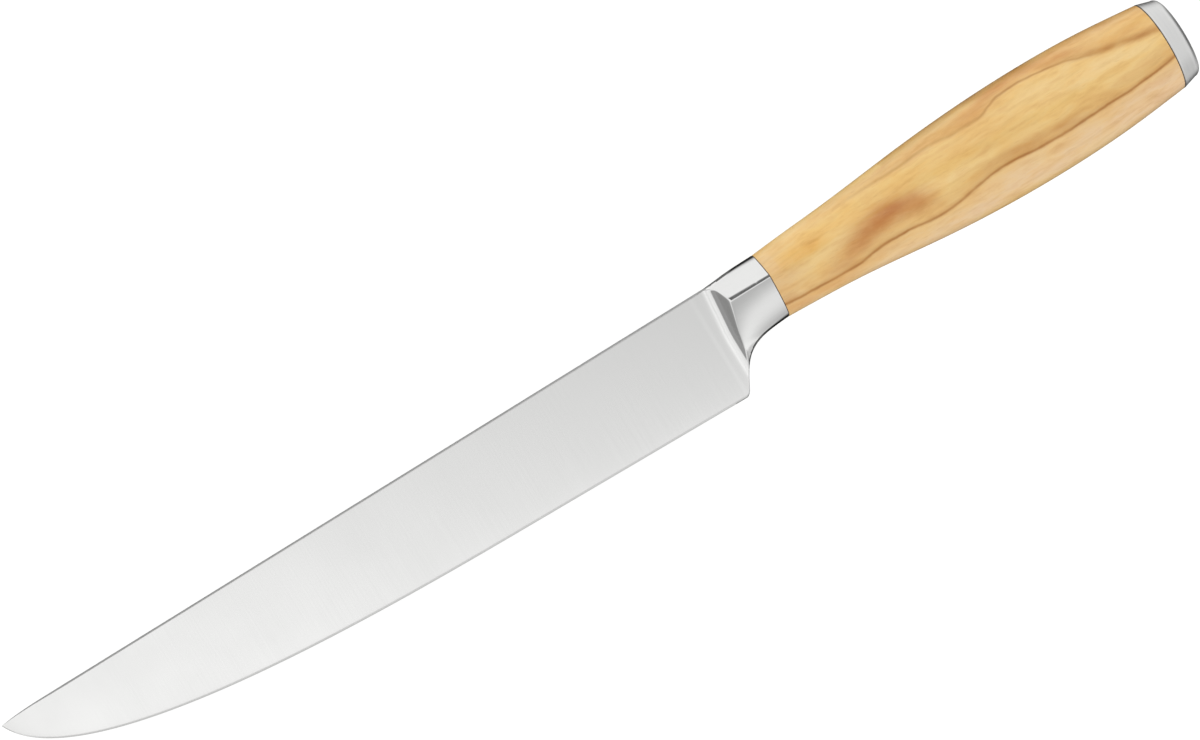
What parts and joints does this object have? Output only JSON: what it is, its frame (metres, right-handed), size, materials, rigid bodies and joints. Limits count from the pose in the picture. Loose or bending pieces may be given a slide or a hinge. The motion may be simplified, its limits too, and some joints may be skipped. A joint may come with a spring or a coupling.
{
  "type": "carving knife",
  "caption": "Carving knife with a long slender blade, a forged half bolster, an oval olive-wood handle and a flush steel end cap.",
  "frame": {"origin": "middle of the footprint of the knife lying on its side, on the plane under the handle's widest point", "axes": "+X along the tang axis from the point to the butt, +Y toward the spine, +Z out of the blade's side"},
  "size_m": [0.3344, 0.0344, 0.02],
  "materials": {
    "blade_steel": "forged stainless knife steel: satin ground blade, polished bolster",
    "cap_steel": "satin brushed stainless steel",
    "olive_wood": "sanded and oiled olive wood",
    "adhesive": "cured dark adhesive film",
    "resin": "cured clear amber resin",
    "hardware_steel": "plain machined steel"
  },
  "bodies": {
    "root": {"blade": "blade_steel", "tang_stud": "hardware_steel", "tang_bedding": "resin", "front_bond_line": "adhesive", "handle": "olive_wood", "clamp_washer": "hardware_steel", "clamp_nut": "hardware_steel", "rear_bond_line": "adhesive", "end_cap": "cap_steel", "cap_dowels": "hardware_steel"}
  },
  "joints": []
}
